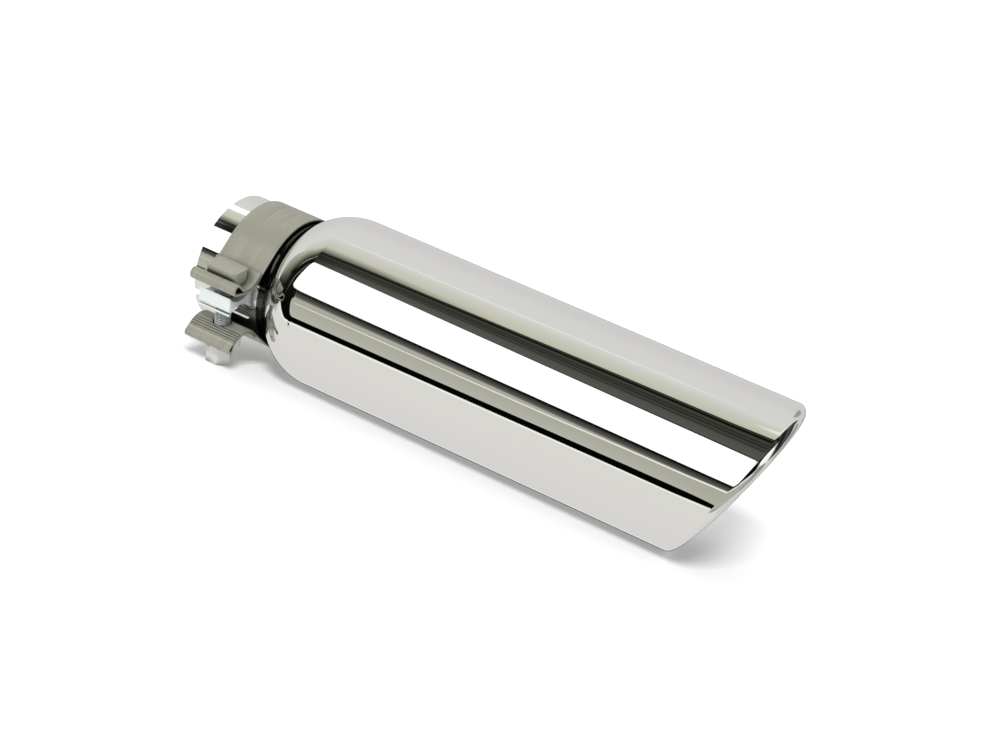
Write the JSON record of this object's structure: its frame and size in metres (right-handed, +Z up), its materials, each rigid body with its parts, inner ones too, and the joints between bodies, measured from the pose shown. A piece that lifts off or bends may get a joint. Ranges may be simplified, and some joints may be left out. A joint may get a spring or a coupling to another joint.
{
  "type": "exhaust tip",
  "caption": "Polished slash-cut tubular exhaust tip with a rolled edge, drawn down to a slotted inlet neck that a wide band clamp closes on the pipe.",
  "frame": {"origin": "centre of the inlet mouth", "axes": "+X along the tube from the inlet to the outlet, +Z up as the tip rests on its side"},
  "size_m": [0.3725, 0.1154, 0.1016],
  "materials": {
    "polished_stainless": "mirror polished stainless steel",
    "brushed_band": "brushed stainless sheet",
    "zinc_block": "bright zinc plated steel",
    "zinc_bolt": "bright zinc plated steel",
    "zinc_saddle": "bright zinc plated steel",
    "zinc_nut": "bright zinc plated steel"
  },
  "bodies": {
    "root": {"tip_shell": "polished_stainless", "clamp_band": "brushed_band", "reaction_block": "zinc_block", "clamp_bolt": "zinc_bolt", "saddle_washer": "zinc_saddle", "clamp_nut": "zinc_nut"}
  },
  "joints": []
}
